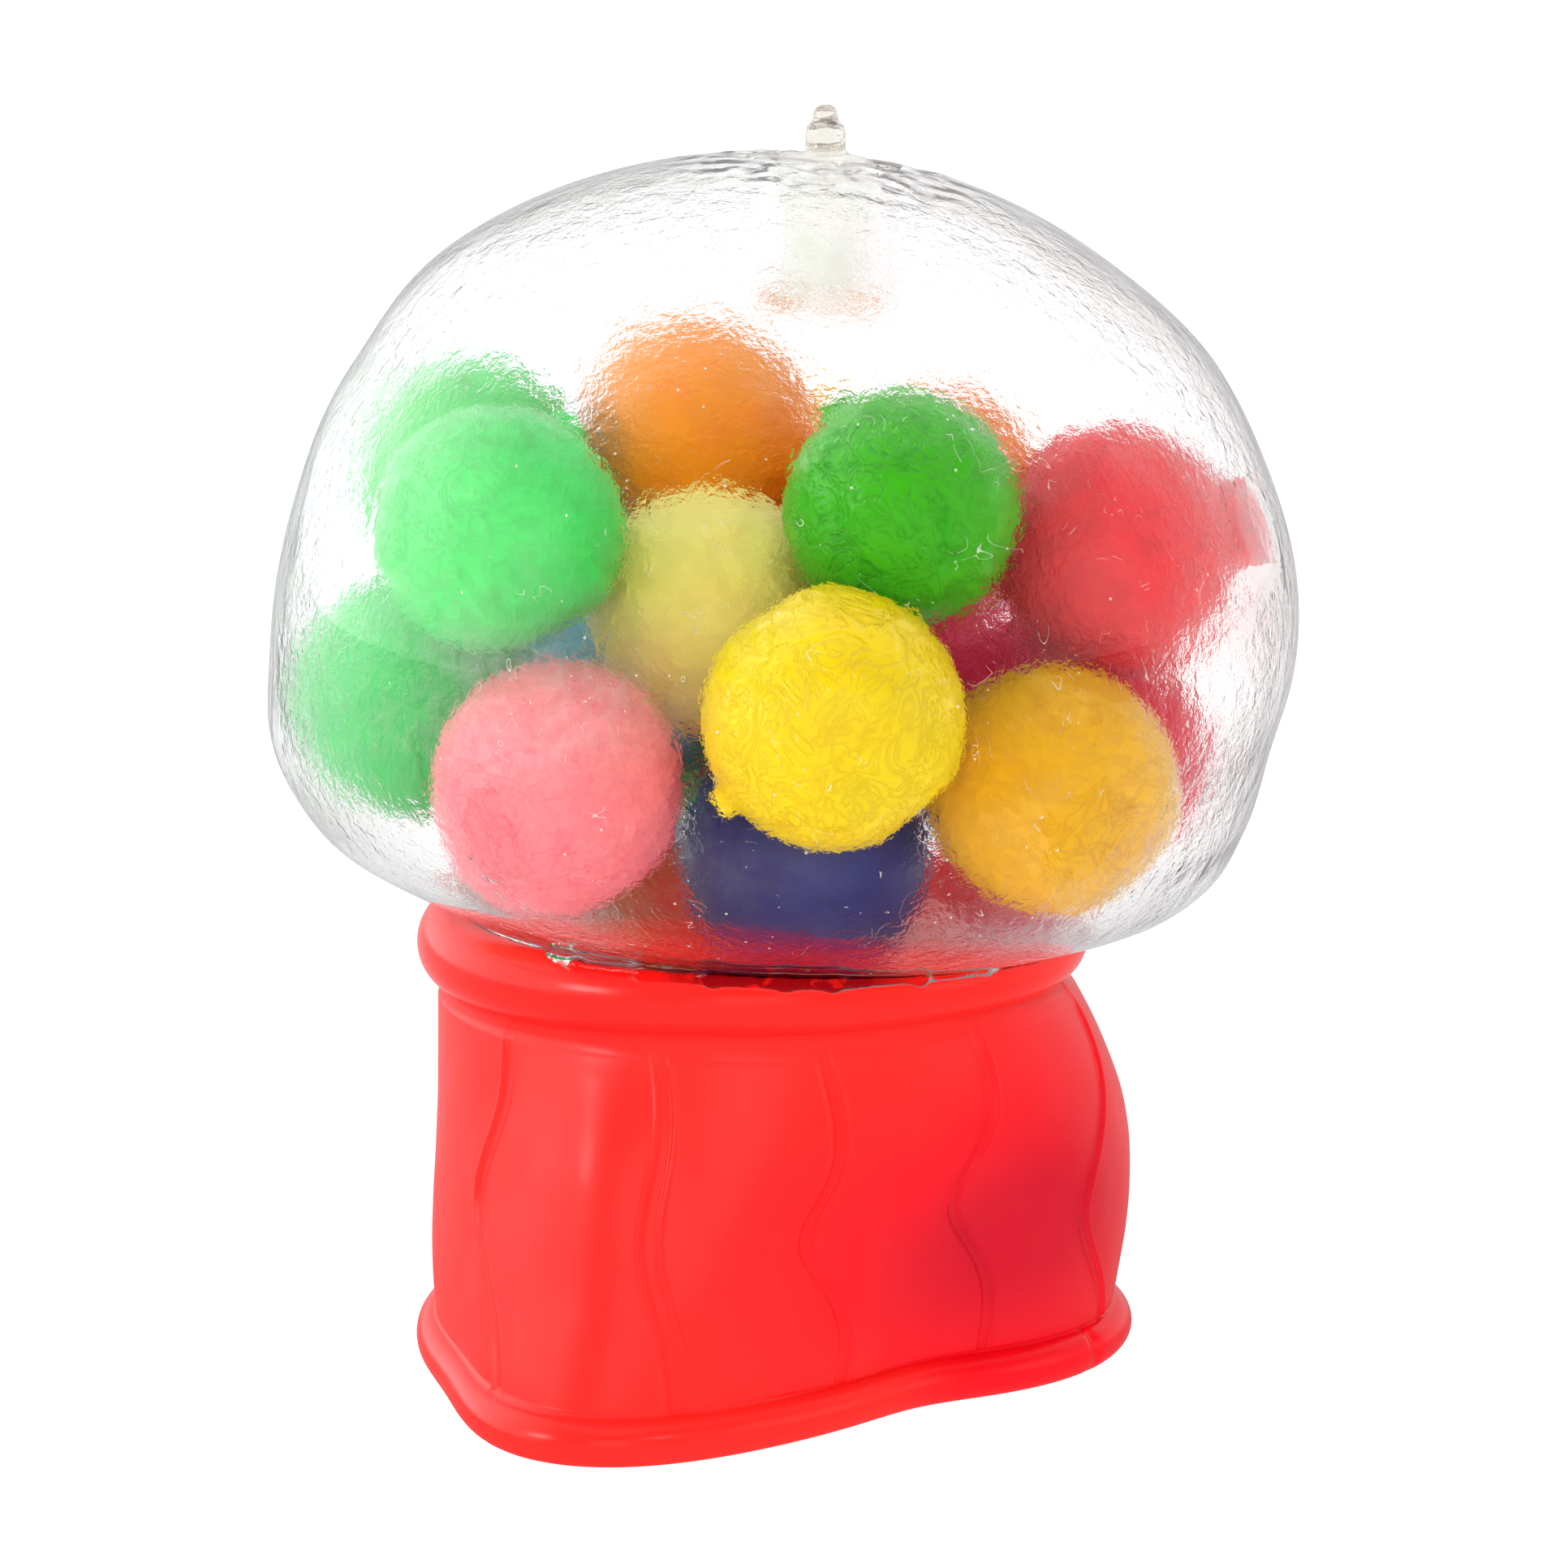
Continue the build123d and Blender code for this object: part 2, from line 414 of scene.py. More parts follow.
def milk(m, colour):
    """Half diffuse and half translucent, for haze and small white marks."""
    return m.mix(0.5, m.add("BsdfDiffuse", Color=colour).outputs[0],
                 m.add("BsdfTranslucent", Color=colour).outputs[0])


def skin_glass(m, tint, rough, bump):
    glass = m.add("BsdfPrincipled", Base_Color=tint, IOR=1.38, Roughness=rough, Normal=bump)
    glass.inputs["Transmission Weight"].default_value = 1
    return glass.outputs[0]


def clear_outside():
    """The bag's smooth outer face, with tiny bubbles and short fibres."""
    m = Nodes("clear_outside")
    crinkle = m.noise(620, 3, 0.55, 0.8)
    broad = m.noise(140, 3, 0.55, 0.6)
    height = m.math("ADD", m.times(broad, 0.6), m.times(crinkle, 0.06))
    glass = skin_glass(m, (0.985, 0.983, 0.985, 1), 0.03, m.bump(height, 0.10, 0.0004))
    cells = m.add("TexVoronoi", Scale=430)
    m.link(m.place(), cells.inputs["Vector"])
    some = m.add("SeparateColor")
    m.link(cells.outputs["Color"], some.inputs[0])
    bubble = m.times(m.range(cells.outputs["Distance"], 0.05, 0.075, 1, 0),
                     m.range(some.outputs[0], 0.30, 0.31, 0, 1))
    line = m.math("ABSOLUTE", m.math("SUBTRACT", m.noise(210, 1, 0.4, 1.5), 0.5))
    fibre = m.times(m.range(line, 0.002, 0.004, 1, 0),
                    m.range(m.noise(330, 2), 0.60, 0.62, 0, 1))
    marks = m.times(m.math("MAXIMUM", bubble, fibre), 0.60)
    return m.shader(light_passes(m, m.mix(marks, glass, milk(m, (1, 1, 1, 1)))))


def clear_inside():
    """The bag's crinkled inner face: hazy where dry, clear where a ball clings to it."""
    m = Nodes("clear_inside")
    fine = m.noise(2200, 2, 0.6)
    crinkle = m.noise(620, 3, 0.55, 0.8)
    broad = m.noise(140, 3, 0.55, 0.6)
    ragged = m.times(m.math("SUBTRACT", m.noise(700, 3, 0.6), 0.5), 0.35)
    edge = m.math("ADD", m.field("wet"), ragged)
    wet = m.range(edge, 0.47, 0.53, 0, 1)
    rim = m.add("LayerWeight", Blend=0.5).outputs["Facing"]
    # the relief fades towards the rim, and most of it where the skin is wet
    flat_rim = m.range(rim, 0.22, 0.62, 1, 0.06)
    calm = m.times(m.range(edge, 0.35, 0.65, 1, 0.2), flat_rim)
    relief = m.math("ADD", m.times(crinkle, 0.34), m.times(fine, 0.13))
    height = m.math("ADD", m.times(broad, 0.25, flat_rim), m.times(relief, calm))
    tint = m.ramp(wet, (0.0, (1, 1, 1)), (1.0, (0.89, 0.89, 0.89)))
    glass = skin_glass(m, tint, m.range(wet, 0, 1, 0.05, 0.015), m.bump(height, 0.42, 0.0006))
    uneven = m.times(m.range(broad, 0.3, 0.7, 0.7, 1.3), m.range(crinkle, 0.35, 0.65, 0.6, 1.4))
    milky = m.times(m.times(m.field("film"), 0.15), uneven)
    thick = m.math("ADD", milky, m.range(m.math("POWER", rim, 3.0), 0, 1, 0.0, 0.50))
    above_seam = m.range(m.along("Z"), 0.048, 0.064, 0.0, 1)
    veil = m.times(above_seam, m.range(wet, 0, 1, 1, 0.01), thick)
    return m.shader(light_passes(m, m.mix(veil, glass, milk(m, (0.97, 0.98, 0.99, 1)))))


def neck_skin():
    m = Nodes("clear_neck")
    grey = m.ramp(m.noise(420, 3, 0.6, 1.0), (0.35, (0.84, 0.83, 0.81)), (0.6, (0.97, 0.97, 0.96)))
    glass = m.add("BsdfPrincipled", Base_Color=grey, IOR=1.16, Roughness=0.12,
                  Normal=m.bump(m.noise(500, 3, 0.6, 0.8), 0.8, 0.0008))
    glass.inputs["Transmission Weight"].default_value = 1
    return m.shader(light_passes(m, glass.outputs[0], (0.97, 0.97, 0.96, 1)))


def ball_paint(name, light, dark, seed):
    m = Nodes(name)
    shift = m.add("VectorMath", operation="ADD")
    m.link(m.place(), shift.inputs[0])
    shift.inputs[1].default_value = (seed * 0.37, seed * 0.11, 0)
    where = shift.outputs[0]
    swirl = m.noise(95, 4, 0.55, 2.6, where)
    fine = m.noise(600, 4, 0.6, 0.3, where)
    wrinkle = m.noise(230, 3, 0.5, 3.2, where)
    ridge = m.math("ABSOLUTE", m.math("SUBTRACT", wrinkle, 0.5))
    # painted shade: the colour is darkened along the thin crease lines of the wrinkles, where the
    # bump below is lowest
    tone_and_painted_shade = m.math("SUBTRACT", swirl, m.range(ridge, 0.0, 0.03, 0.12, 0.0))
    colour = m.ramp(tone_and_painted_shade, (0.20, dark), (0.46, light), (0.75, light))
    height = m.math("ADD", m.times(m.range(ridge, 0.0, 0.06, 0, 1), 0.30),
                    m.math("ADD", m.times(wrinkle, 0.6), m.times(fine, 0.25)))
    s = m.add("BsdfPrincipled", Base_Color=colour, Roughness=0.17, IOR=1.45,
              Normal=m.bump(height, 0.60, 0.0009))
    s.inputs["Subsurface Weight"].default_value = 0.35
    s.inputs["Subsurface Radius"].default_value = (1.0, 0.8, 0.7)
    s.inputs["Subsurface Scale"].default_value = 0.004
    return m.shader(s.outputs[0])


def base_paint():
    m = Nodes("base_red")
    mottle = m.noise(60, 3, 0.5, 0.4)
    fine = m.noise(1100, 3, 0.6)
    # random mottling plus painted shade: the per-vertex field set in make_base darkens the red
    # towards deep crimson in the dented hollow and on the right
    tone_and_painted_shade = m.math("ADD", m.field("painted_shade"), m.times(m.math("SUBTRACT", mottle, 0.5), 0.25))
    colour = m.ramp(tone_and_painted_shade, (0.0, (1.0, 0.020, 0.016)), (0.45, (0.93, 0.003, 0.012)),
                    (1.0, (0.64, 0.000, 0.016)))
    height = m.math("ADD", m.times(mottle, 0.5), m.times(fine, 0.06))
    s = m.add("BsdfPrincipled", Base_Color=colour, IOR=1.32,
              Roughness=m.range(m.field("shine"), 0, 1, 0.34, 0.19),
              Normal=m.bump(height, 0.25, 0.0008))
    s.inputs["Subsurface Weight"].default_value = 0.25
    s.inputs["Subsurface Radius"].default_value = (1.0, 0.25, 0.2)
    s.inputs["Subsurface Scale"].default_value = 0.003
    s.inputs["Coat Weight"].default_value = 0.05
    s.inputs["Coat Roughness"].default_value = 0.15
    return m.shader(s.outputs[0])


def glue_clear():
    m = Nodes("glue_clear")
    lumps = m.noise(320, 3, 0.5, 0.5)
    # painted refraction: where the glue swells out at the front it is tinted dark purple, standing
    # in for the navy gumball seen through the glue
    painted_refraction = m.times(m.field("dark"), m.range(m.noise(260, 3, 0.5, 0.6), 0.36, 0.46, 0.2, 1))
    tint = m.ramp(painted_refraction, (0.0, (1.0, 0.30, 0.22)), (0.6, (0.10, 0.004, 0.08)))
    s = m.add("BsdfPrincipled", Base_Color=tint, IOR=1.25, Roughness=0.05,
              Normal=m.bump(lumps, 0.4, 0.0008))
    s.inputs["Transmission Weight"].default_value = 1
    return m.shader(light_passes(m, s.outputs[0], (1, 0.8, 0.76, 1)))


def plug_clear(name, ior, rough, clear, light, dark):
    m = Nodes(name)
    lumps = m.noise(500, 3, 0.5, 0.5)
    tint = m.ramp(m.noise(330, 2, 0.5, 0.4), (0.35, light), (0.7, dark))
    s = m.add("BsdfPrincipled", Base_Color=tint, Normal=m.bump(lumps, 0.3, 0.0006))
    for key, value in (("IOR", ior), ("Roughness", rough), ("Transmission Weight", clear)):
        s.inputs[key].default_value = value
    return m.shader(light_passes(m, s.outputs[0]))


# light and dark tone of each ball
PAINT = {
    "yellow": ((0.91, 0.66, 0.001), (0.85, 0.57, 0.001)),
    "pink": ((0.99, 0.22, 0.25), (0.97, 0.13, 0.18)),
    "amber": ((0.86, 0.44, 0.002), (0.78, 0.35, 0.001)),
    "green_front": ((0.055, 0.46, 0.012), (0.025, 0.33, 0.010)),
    "tan": ((0.98, 0.80, 0.20), (0.94, 0.70, 0.13)),
    "orange_top": ((1.0, 0.30, 0.006), (0.98, 0.22, 0.004)),
    "orange_inner": ((1.0, 0.24, 0.008), (0.95, 0.17, 0.006)),
    "red_right": ((0.82, 0.016, 0.024), (0.66, 0.008, 0.016)),
    "red_inner": ((0.84, 0.020, 0.030), (0.70, 0.010, 0.020)),
    "crimson": ((0.74, 0.012, 0.045), (0.58, 0.006, 0.030)),
    "green_mid": ((0.030, 0.70, 0.105), (0.014, 0.56, 0.06)),
    "green_top": ((0.012, 0.66, 0.07), (0.006, 0.52, 0.05)),
    "green_low": ((0.020, 0.62, 0.11), (0.010, 0.50, 0.08)),
    "navy": ((0.028, 0.032, 0.17), (0.014, 0.016, 0.11)),
    "blue_back": ((0.10, 0.55, 0.92), (0.06, 0.42, 0.80)),
    "blue_inner": ((0.10, 0.60, 0.92), (0.06, 0.45, 0.80)),
    "red_low": ((1.0, 0.11, 0.03), (0.92, 0.06, 0.02)),
    "magenta_back": ((0.85, 0.02, 0.16), (0.70, 0.01, 0.10)),
    "amber_back": ((0.95, 0.55, 0.02), (0.88, 0.44, 0.01)),
    "green_back": ((0.030, 0.62, 0.10), (0.015, 0.48, 0.07)),
}


# ---------------------------------------------------------------- gumballs
def make_ball(name, seed):
    c, r = ball_at[name]
    r = r / MM
    axis = Vector(JOINTS["roll_" + name]["axis"]).normalized()
    big = name == "red_right"
    neck_r, neck_len = (4.3, 3.4) if big else (1.5, 1.2) if name == "yellow" else (2.0, 1.3)
    lip = 0.8
    segs = 168
    rings = []
    a_neck = math.asin(neck_r / r)
    # inside of the cut neck, its lip, its outside (nine rings in all), then the ball
    neck = 9
    top = r + neck_len
    well = top - (2.4 if big else 0.9)
    root = math.sqrt(r * r - neck_r ** 2) + 0.35
    for rr, zz in [(0.25 * neck_r, well), (neck_r - lip - 0.25, well),
                   (neck_r - lip, well + 0.2), (neck_r - lip, top - 0.15),
                   (neck_r - lip + 0.15, top), (neck_r - 0.15, top), (neck_r, top - 0.15),
                   (neck_r, top - 0.6), (neck_r + 0.05, root)]:
        rings.append([(rr, zz)] * segs)
    for a in a_neck + 0.06 + (math.pi - a_neck - 0.08) * np.linspace(0, 1, 120):
        rings.append([(r * math.sin(a), r * math.cos(a))] * segs)
    rings = np.array(rings)
    turn = np.arange(segs) * TURN / segs
    p = np.stack([rings[..., 0] * np.cos(turn), rings[..., 0] * np.sin(turn), rings[..., 1]],
                 -1)
    if big:   # the cut cuff is a bit ragged, and flares against the skin
        ragged = 1 + 0.05 * np.sin(5 * turn + 1) + 0.04 * np.sin(9 * turn)
        flare = np.array([1.0, 1.0, 1.02, 1.12, 1.13, 1.13, 1.12, 1.05, 0.98])
        p[:neck, :, :2] *= ragged[None, :, None] * flare[:, None, None]
    q = axis.to_track_quat("Z", "Y").to_matrix()
    world = p @ np.array(q).T * MM + c
    # wrinkles and dimples of a soft, slack skin
    n = (world - c) / np.linalg.norm(world - c, axis=-1, keepdims=True)
    amount = (0.16 * layers(world + seed * 0.01, 7, seed)
              + 0.06 * noise3(world, 2.2, seed + 9) + 0.05 * noise3(world, 1.1, seed + 13))
    amount[:neck] *= 0.3
    world = world + n * (amount - 0.12)[..., None] * MM
    # pulled inside the bag, alike all the way round the axis it rolls on
    reach = (np.linalg.norm(keep_inside(world, 2.3) - c, axis=-1)
             / np.linalg.norm(world - c, axis=-1))
    share = np.repeat(reach.min(1)[:, None], segs, 1)
    if big:
        share[:neck] = reach[:neck]   # its cuff is pressed against the skin
    world = c + (world - c) * share[..., None]
    verts, faces = closed_rings(world, flip=True)
    light, dark = PAINT[name]
    paint = ball_paint("gumball_" + name, light, dark, seed)
    obj = make_mesh("gumball_" + name, verts, faces, [paint])
    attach(obj, "ball_" + name)
    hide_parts("ball_" + name + "_skin", "ball_" + name + "_gel")


for k, n in enumerate(BALLS):
    make_ball(n, k + 1)


# ---------------------------------------------------------------- globe skin
def make_globe():
    cols, rows = 420, 300
    outer = globe_shell(0, rows, cols) * MM
    inner = globe_shell(SKIN, rows, cols) * MM
    for shell, amp, seed in ((outer, 0.02, 31), (inner, 0.05, 57)):
        n = shell - np.array([0, 0, GLOBE_Z * MM])
        n /= np.linalg.norm(n, axis=-1, keepdims=True)
        move = amp * layers(shell, 9, seed) + 0.5 * amp * noise3(shell, 3, seed + 5)
        # puckers round the filler neck
        d = np.hypot(shell[..., 0] - NECK_X * MM, shell[..., 1]) / MM
        near = (shell[..., 2] > 100 * MM) * hump(d, 7, 6)
        move = move + near * 0.25 * noise3(shell * np.array([1, 1, 0.2]), 1.6, seed + 8)
        shell += n * move[..., None] * MM
    vo, fo = closed_rings(outer)
    vi, fi = closed_rings(inner, flip=True)
    # the neck, a tube turned inwards, its top buried in the skin
    segs = 96
    turn = np.arange(segs) * TURN / segs
    bore, wall, low = NECK_ID / 2, NECK_OD / 2, NECK_BOTTOM
    prof = [(bore, 117.9), (bore, 112), (bore + 0.05, 108), (bore, low + 0.3),
            (bore + 0.3, low), (wall - 0.3, low), (wall, low + 0.3), (wall - 0.1, 108),
            (wall, 112), (wall, 116), (wall + 0.6, 117.9)]
    tube = np.array([[(NECK_X + r * math.cos(a), r * math.sin(a), z) for a in turn]
                     for r, z in prof]) * MM
    tube += 0.18 * MM * layers(tube, 3, 77)[..., None] * np.array([1, 1, 0.5])
    ft = hoop_faces(len(prof), segs)
    verts = np.concatenate([vo, vi, tube.reshape(-1, 3)])
    inside = slice(len(vo), len(vo) + len(vi))
    faces = (fo + [tuple(i + inside.start for i in f) for f in fi]
             + [tuple(i + inside.stop for i in f) for f in ft])
    kinds = [0] * len(fo) + [1] * len(fi) + [2] * len(ft)
    wet, milky = np.zeros(len(verts)), np.zeros(len(verts))
    wet[inside] = wetness(vi)
    milky[inside] = film(vi)
    obj = make_mesh("globe_skin_clear", verts, faces,
                    [clear_outside(), clear_inside(), neck_skin()], kinds,
                    attributes={"wet": wet, "film": milky})
    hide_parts("globe_skin")
    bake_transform(obj)


make_globe()


# ---------------------------------------------------------------- base
COLLAR_X, COLLAR_Z, COLLAR_OUT, COLLAR_TUBE = -3.1, 42.5, 33.2, 3.3
SKIRT_TOP, TOP_R = 39.0, 31.0
FOOT_R, FOOT_TUBE, FOOT_Z = 34.0, 2.3, 2.15
BELLY, SKIRT_WALL = 2.3, 1.8
BULGE, DENT, HOLLOW = (9.3, -29.0, 23.0), (9.5, 34.0, 36.0), (2.0, 33.0, 20.0)

# grooves: degrees at the top and at the foot, how far they swing aside between them, at
# what share of the way down, and over how much of it
GROOVES = [(12, 11, 8, 0.52, 0.16), (42, 48, 12, 0.47, 0.18), (79, 82, 18, 0.56, 0.27),
           (114, 112, 4, 0.5, 0.24), (150, 150, 3, 0.5, 0.24), (186, 186, 3, 0.5, 0.24),
           (222, 222, 3, 0.5, 0.24), (260, 262, 4, 0.5, 0.24), (311, 320, 11, 0.5, 0.23),
           (343.5, 346.5, 4.7, 0.5, 0.24)]
PLATE_R = 27.5
# soft dents and bumps of the skirt: depth in mm, degrees, width, and the share of the way
# down and its width
SOFT = [(-0.8, 14, 8, 0.80, 0.16), (-0.7, 60, 12, 0.52, 0.2), (0.7, 22, 7, 0.45, 0.2),
        (-1.3, -29, 9, 0.34, 0.2), (0.5, -17, 6, 0.5, 0.4), (1.2, 200, 30, 0.55, 0.3)]


def round_hump(turns, amount, middle, width):
    return amount * hump(unwrap(turns - middle), 0, width)


def skirt(turns, s):
    """Skirt outline in mm at a share s of the way down (0 top, 1 foot)."""
    t = min(1, max(0, s))
    r = (TOP_R + (FOOT_R - TOP_R) * s + BELLY * math.sin(math.pi * t) ** 0.9
         + round_hump(turns, *BULGE) * t ** 1.3 - round_hump(turns, *DENT) * t ** 1.2
         - round_hump(turns, *HOLLOW) * hump(t, 0.65, 0.22))
    cx = COLLAR_X * (1 - math.sin(math.pi / 2 * min(1, 2 * t))) - 0.6 * step(t, 0.6, 1)
    a = np.radians(turns)
    z = SKIRT_TOP - (SKIRT_TOP - FOOT_Z) * s
    return np.stack([cx + r * np.sin(a), -r * np.cos(a), np.full_like(a, z)], -1)


def outward(ring):
    """Level unit vectors out of a ring that goes round to the left of its outside."""
    t = np.roll(ring, -1, 0) - np.roll(ring, 1, 0)
    n = np.stack([t[:, 1], -t[:, 0], np.zeros(len(ring))], -1)
    return n / np.linalg.norm(n, axis=1, keepdims=True)


def plate_ring(r, rad, below):
    """A ring of the dished plate, in mm, below mm under the plain globe's outline."""
    x, y = COLLAR_X * r / PLATE_R + r * np.sin(rad), -r * np.cos(rad)
    share = np.clip(np.hypot(x, y) / GLOBE_R, 0, 0.99)
    z = GLOBE_Z - (GLOBE_DOWN + below) * (1 - share ** FULL_DOWN) ** (1 / FULL_DOWN)
    return np.stack([x, y, z], -1)


def make_base():
    cols = 1200
    turns = np.arange(cols) * 360 / cols - 180
    rad = np.radians(turns)
    out = np.stack([np.sin(rad), -np.cos(rad), np.zeros(cols)], -1)
    rings, painted_shade, shine = [], [], []

    # each ring keeps its painted shade, which darkens the red, and its gloss
    def add(ring, h=None, gloss=0.0):
        rings.append(ring)
        painted_shade.append(np.zeros(cols) if h is None else h)
        shine.append(np.full(cols, gloss))

    # plate under the globe
    for r in np.linspace(1.5, PLATE_R, 16):
        add(plate_ring(r, rad, 0.35))
    # collar bead, from its inner top over the outside to underneath: fatter on the left,
    # and pushed out of the globe's way
    left = hump(unwrap(turns + 90), 0, 52)
    tube = COLLAR_TUBE + 1.0 * left + 0.08 * np.sin(7 * rad)
    middle = COLLAR_Z - 0.6 * left + 0.12 * np.sin(3 * rad + 0.6)
    for a in np.radians(np.linspace(125, -80, 42)):
        ring = out * (COLLAR_OUT - tube + tube * math.cos(a))[:, None]
        ring[:, 0] += COLLAR_X
        ring[:, 2] = middle + tube * math.sin(a)
        add(keep_outside(ring, 0.12), gloss=1.0)
    # skirt, with grooves and soft dents
    not_behind = 1 - step(unwrap(turns), 95, 170)
    # painted shade: the right front of the skirt, turned away from the main lamps, is darkened in
    # colour
    right_side_painted_shade = 0.34 * step(unwrap(turns), 10, 75) * not_behind
    for s in np.linspace(0.06, 0.93, 96):
        ring = skirt(turns, s)
        depth = np.zeros(cols)
        for top, foot, swing, where, spread in GROOVES:
            g = top + (foot - top) * s - swing * hump(s, where, spread)
            d = np.abs(unwrap(turns - g))
            depth += 0.32 * (1 - step(d, 0.8, 1.3)) - 0.15 * hump(d, 1.55, 0.3)
        soft = sum(round_hump(turns, dent, at, wide) * hump(s, share, tall)
                   for dent, at, wide, share, tall in SOFT)
        fade = step(s, 0.02, 0.12) * (1 - step(s, 0.93, 1.0))
        lumps = 0.22 * layers(ring * MM, 14, 91)
        ring = ring - outward(ring) * ((depth + soft) * fade + lumps)[:, None]
        # painted shade in the dented hollow on the front right, with the right side's painted
        # shade added
        h = (round_hump(turns, 0.45, 32, 40) * hump(s, 0.64, 0.38)
             + round_hump(turns, 0.50, 50, 30) * hump(s, 0.56, 0.30) + right_side_painted_shade)
        add(ring, np.clip(h, 0, 1))
    # foot bead, with the mark of the parting line on its right
    centre = skirt(turns, 1.0)
    normal = outward(centre)
    crease = round_hump(turns, 0.35, 73, 1.2) + round_hump(turns, 0.25, -105, 1.2)
    bead = FOOT_TUBE + 0.08 * np.sin(9 * rad)
    for a in np.radians(np.linspace(82, -200, 40)):
        ring = centre + normal * (bead * math.cos(a) - crease)[:, None]
        ring[:, 2] = np.maximum(FOOT_Z + FOOT_TUBE * math.sin(a) - crease * 0.5, 0.0)
        # painted shade on the front right of the foot bead
        add(ring, 0.45 * step(unwrap(turns), 12, 50) * not_behind, 0.8)
    # inside of the skirt, up to the plate's underside
    for s in np.linspace(0.86, 0.14, 20):
        ring = skirt(turns, s)
        add(ring - outward(ring) * SKIRT_WALL)
    for r in np.linspace(27.0, 1.5, 12):
        add(plate_ring(r, rad, 1.9))
    verts, faces = closed_rings(np.array(rings) * MM, flip=True)
    fields = {"painted_shade": np.append(np.ravel(painted_shade), [0, 0]),
              "shine": np.append(np.ravel(shine), [0, 0])}
    obj = make_mesh("base_soft_red", verts, faces, [base_paint()], attributes=fields)
    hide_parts("base_skin")
    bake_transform(obj)


make_base()


# ---------------------------------------------------------------- glue ring
GLUE_X, GLUE_Z, GLUE_R = -1.6, 44.9, 29.3


def make_glue():
    cols, around = 480, 24
    turns = np.arange(cols) * 360 / cols
    rad = np.radians(turns)
    lens = hump(unwrap(turns - 3), 0, 19)
    # deep inside the seam all round but at the front, where it swells out as a lens; the lens's
    # dark purple colour is painted refraction of the navy gumball seen through the glue
    front = step(np.cos(rad), 0.55, 0.85)
    right = unwrap(turns - 90)
    tube = 0.75 + 0.12 * np.sin(5 * rad + 0.4) + 0.08 * np.sin(11 * rad) + 0.45 * lens
    # beads of glue and air along the front
    for k, at in enumerate((-34, -21, -9, 3, 11, 26, 40)):
        tube = tube + (0.25 + 0.1 * (k % 3)) * hump(unwrap(turns - at), 0, 1.6)
    across = GLUE_R + 0.8 * hump(right, 0, 50) + 2.9 * front + 0.2 * lens
    high = GLUE_Z - 1.6 * hump(right, 0, 55) + 0.2 * front + 0.2 * lens
    rings = []
    for a in np.arange(around) * TURN / around:
        rr = across + tube * math.cos(a)
        zz = high + tube * math.sin(a)
        rings.append(np.stack([GLUE_X + rr * np.sin(rad), -rr * np.cos(rad), zz], -1))
    verts = np.array(rings).reshape(-1, 3) * MM
    # the dark field carries the painted refraction of the navy gumball onto the lens
    obj = make_mesh("glue_seam", verts, hoop_faces(around, cols), [glue_clear()],
                    attributes={"dark": np.tile(lens, around)})
    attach(obj, "globe")
    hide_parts("seam_glue")


make_glue()


# ---------------------------------------------------------------- plug
def make_plug():
    segs = 72
    turn = np.arange(segs) * TURN / segs
    prof = [(0.6, 106.0), (3.9, 106.0), (4.35, 106.4), (4.42, 108), (4.38, 112), (4.42, 118.0),
            (3.9, 118.8), (2.4, 119.1), (1.95, 119.6), (1.92, 120.4), (1.9, 121.3),
            (1.75, 121.9), (1.32, 122.3), (1.2, 122.7), (1.15, 123.2), (0.95, 123.6),
            (0.5, 123.85), (0.15, 123.9)]
    rings = np.array([[(NECK_X + r * math.cos(a), r * math.sin(a), z) for a in turn]
                      for r, z in prof]) * MM
    verts, faces = closed_rings(rings)
    # the nub above the bag is tinted and glossier
    high = [max(verts[i][2] for i in f) > 119.4 * MM for f in faces]
    body = plug_clear("plug_body", 1.30, 0.20, 0.60, (0.98, 0.98, 0.97), (0.94, 0.93, 0.90))
    nub = plug_clear("plug_nub", 1.42, 0.10, 0.95, (0.90, 0.89, 0.86), (0.74, 0.70, 0.62))
    obj = make_mesh("plug_clear", verts, faces, [body, nub], high)
    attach(obj, "plug")
    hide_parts("filler_plug")


make_plug()


# ---------------------------------------------------------------- floor, light
def floor_paint():
    m = Nodes("floor_white")
    grain = m.ramp(m.noise(40, 2), (0.3, (0.90, 0.90, 0.90)), (0.7, (0.92, 0.92, 0.92)))
    shade = m.add("BsdfDiffuse", Color=grain)
    # seen directly the floor is white. Its front is nearly dark in gloss and through clear
    # pieces, and the rest of it is dim in gloss only
    path = m.add("LightPath")
    glossy, refracted = path.outputs["Is Glossy Ray"], path.outputs["Is Transmission Ray"]
    mirrored = m.times(glossy, m.math("SUBTRACT", 1.0, refracted))
    front = m.range(m.along("Y"), -0.06, 0.10, 1, 0)
    indirect = m.math("MAXIMUM", glossy, refracted)
    dim = m.math("ADD", m.times(front, indirect, -1.20),
                 m.times(m.math("SUBTRACT", 1.0, front), mirrored, -0.70))
    glow = m.add("Emission", Color=(1, 1, 1, 1), Strength=m.math("ADD", 1.25, dim))
    lit = m.range(mirrored, 0, 1, 0.8, 0.95)
    return m.shader(m.mix(lit, shade.outputs[0], glow.outputs[0]))


floor = make_mesh("floor", [(-6, -3, 0), (6, -3, 0), (6, 9, 0), (-6, 9, 0)], [(0, 1, 2, 3)],
                  [floor_paint()], smooth=False)

world = bpy.data.worlds.new("studio")
bpy.context.scene.world = world
world.use_nodes = True
wt = world.node_tree
wt.nodes.clear()
wo = wt.nodes.new("ShaderNodeOutputWorld")
bg = wt.nodes.new("ShaderNodeBackground")
co = wt.nodes.new("ShaderNodeTexCoord")


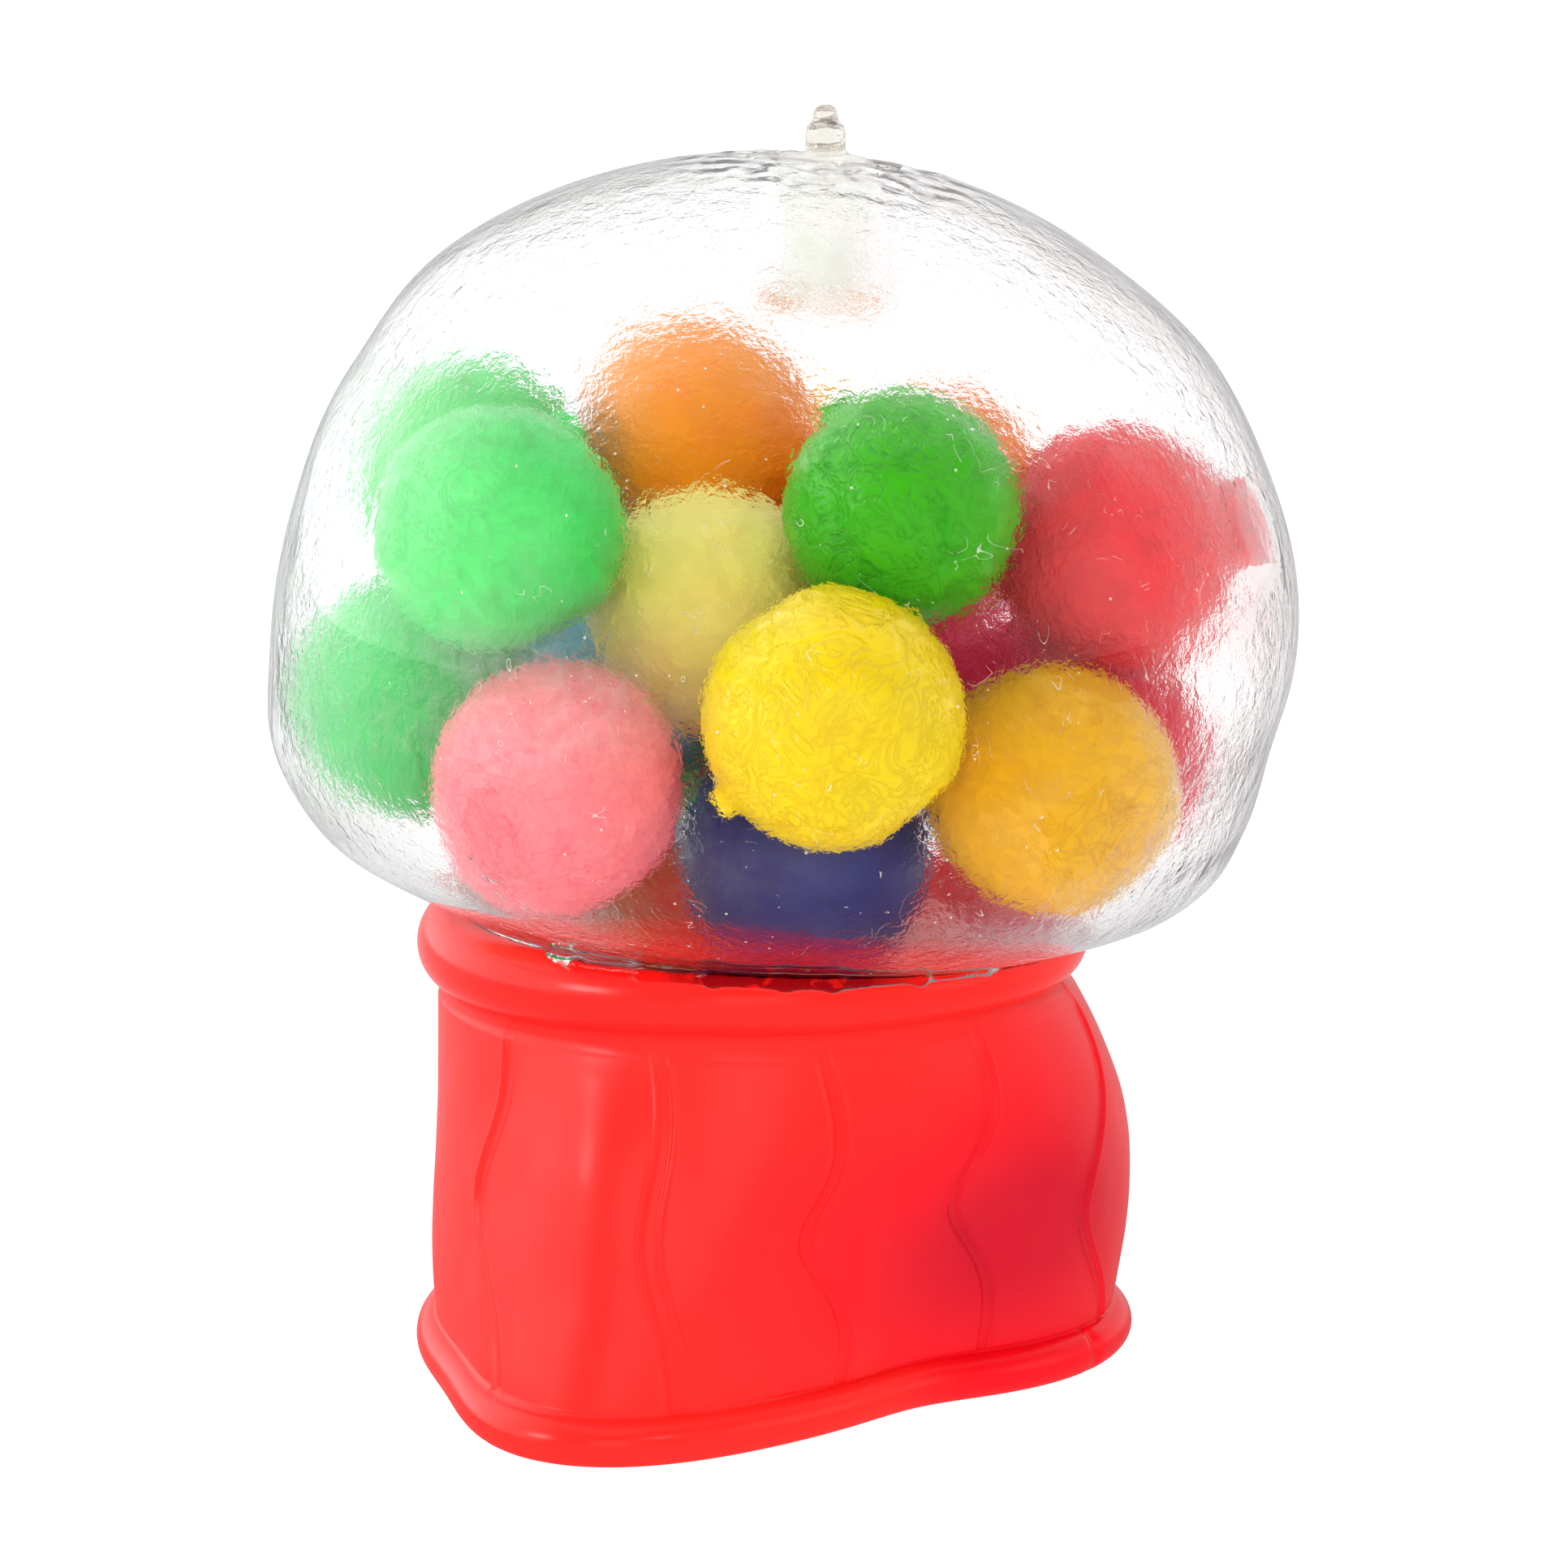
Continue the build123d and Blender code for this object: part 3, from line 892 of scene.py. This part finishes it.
def glow(toward, wide, strength):
    """Soft light from one side: strength towards it, nothing beyond the cosine wide."""
    dot = wt.nodes.new("ShaderNodeVectorMath")
    dot.operation = "DOT_PRODUCT"
    wt.links.new(co.outputs["Generated"], dot.inputs[0])
    dot.inputs[1].default_value = Vector(toward).normalized()
    r = wt.nodes.new("ShaderNodeMapRange")
    r.interpolation_type = "SMOOTHSTEP"
    wt.links.new(dot.outputs["Value"], r.inputs["Value"])
    for key, val in zip(("From Min", "From Max", "To Min", "To Max"), (wide, 1.0, 0.0, strength)):
        r.inputs[key].default_value = val
    return r.outputs["Result"]


def world_math(op, a, b):
    n = wt.nodes.new("ShaderNodeMath")
    n.operation = op
    for i, v in enumerate((a, b)):
        if isinstance(v, bpy.types.NodeSocket):
            wt.links.new(v, n.inputs[i])
        else:
            n.inputs[i].default_value = v
    return n.outputs[0]


path = wt.nodes.new("ShaderNodeLightPath")
not_refracted = world_math("SUBTRACT", 1.0, path.outputs["Is Transmission Ray"])
mirrored = world_math("MULTIPLY", path.outputs["Is Glossy Ray"], not_refracted)
# the bright backdrop reaches further round, and is brighter, for what shows through the bag
# than for what its gloss mirrors
BACK = (0, 1, 0)
total = world_math(
    "ADD", world_math("MULTIPLY", glow(BACK, 0.05, 0.62), mirrored),
    world_math("MULTIPLY", glow(BACK, -0.20, 1.0), world_math("SUBTRACT", 1.0, mirrored)))
# where from, how wide, how strong: left, right front, right, above, and a trace all round
GLOWS = [((-0.97, 0.20, 0.12), 0.40, 1.8), ((0.92, -0.33, 0.20), 0.93, 0.7),
         ((0.97, 0.25, 0.15), 0.55, 0.5), ((0, 0.25, 1), 0.5, 0.7), ((0, -1, 0.1), -1.5, 0.02)]
for toward, wide, strength in GLOWS:
    total = world_math("ADD", total, glow(toward, wide, strength))
wt.links.new(total, bg.inputs["Strength"])
bg.inputs["Color"].default_value = (1, 1, 1, 1)
wt.links.new(bg.outputs[0], wo.inputs["Surface"])


def softbox(name, at, size, power, glints=False):
    """A broad lamp aimed at the toy. Gloss doesn't mirror it, unless asked to."""
    data = bpy.data.lights.new(name, "AREA")
    data.shape = "RECTANGLE"
    data.size, data.size_y = size
    data.energy = power
    o = bpy.data.objects.new(name, data)
    bpy.context.scene.collection.objects.link(o)
    o.location = at
    o.rotation_mode = "QUATERNION"
    o.rotation_quaternion = (AIM - Vector(at)).to_track_quat("-Z", "Y")
    o.visible_glossy = glints
    o.visible_transmission = False
    return o


softbox("fill_front", (0, -0.95, 0.25), (0.5, 0.4), 3.3)
softbox("fill_left", (-0.75, -0.95, 0.55), (0.7, 0.7), 1.2)
softbox("fill_right", (0.80, -0.90, 0.45), (0.7, 0.7), 1.7)
softbox("fill_top", (0, -0.6, 1.2), (0.7, 0.7), 2.3)

# the lamps that glint on the balls and the base leave the clear skin alone
no_glints = bpy.data.collections.new("no_glints")
no_glints.objects.link(bpy.data.objects["globe_skin_clear"])
no_glints.collection_objects[0].light_linking.link_state = "EXCLUDE"
for name, at, size, power in [("key_left", (-0.96, -0.56, 0.45), 0.30, 2.4),
                              ("key_right", (0.55, -1.0, 0.65), 0.16, 0.5)]:
    lamp = softbox(name, at, (size, size), power, glints=True)
    lamp.light_linking.receiver_collection = no_glints

bpy.context.scene.view_settings.view_transform = "Standard"
bpy.context.scene.view_settings.look = "None"
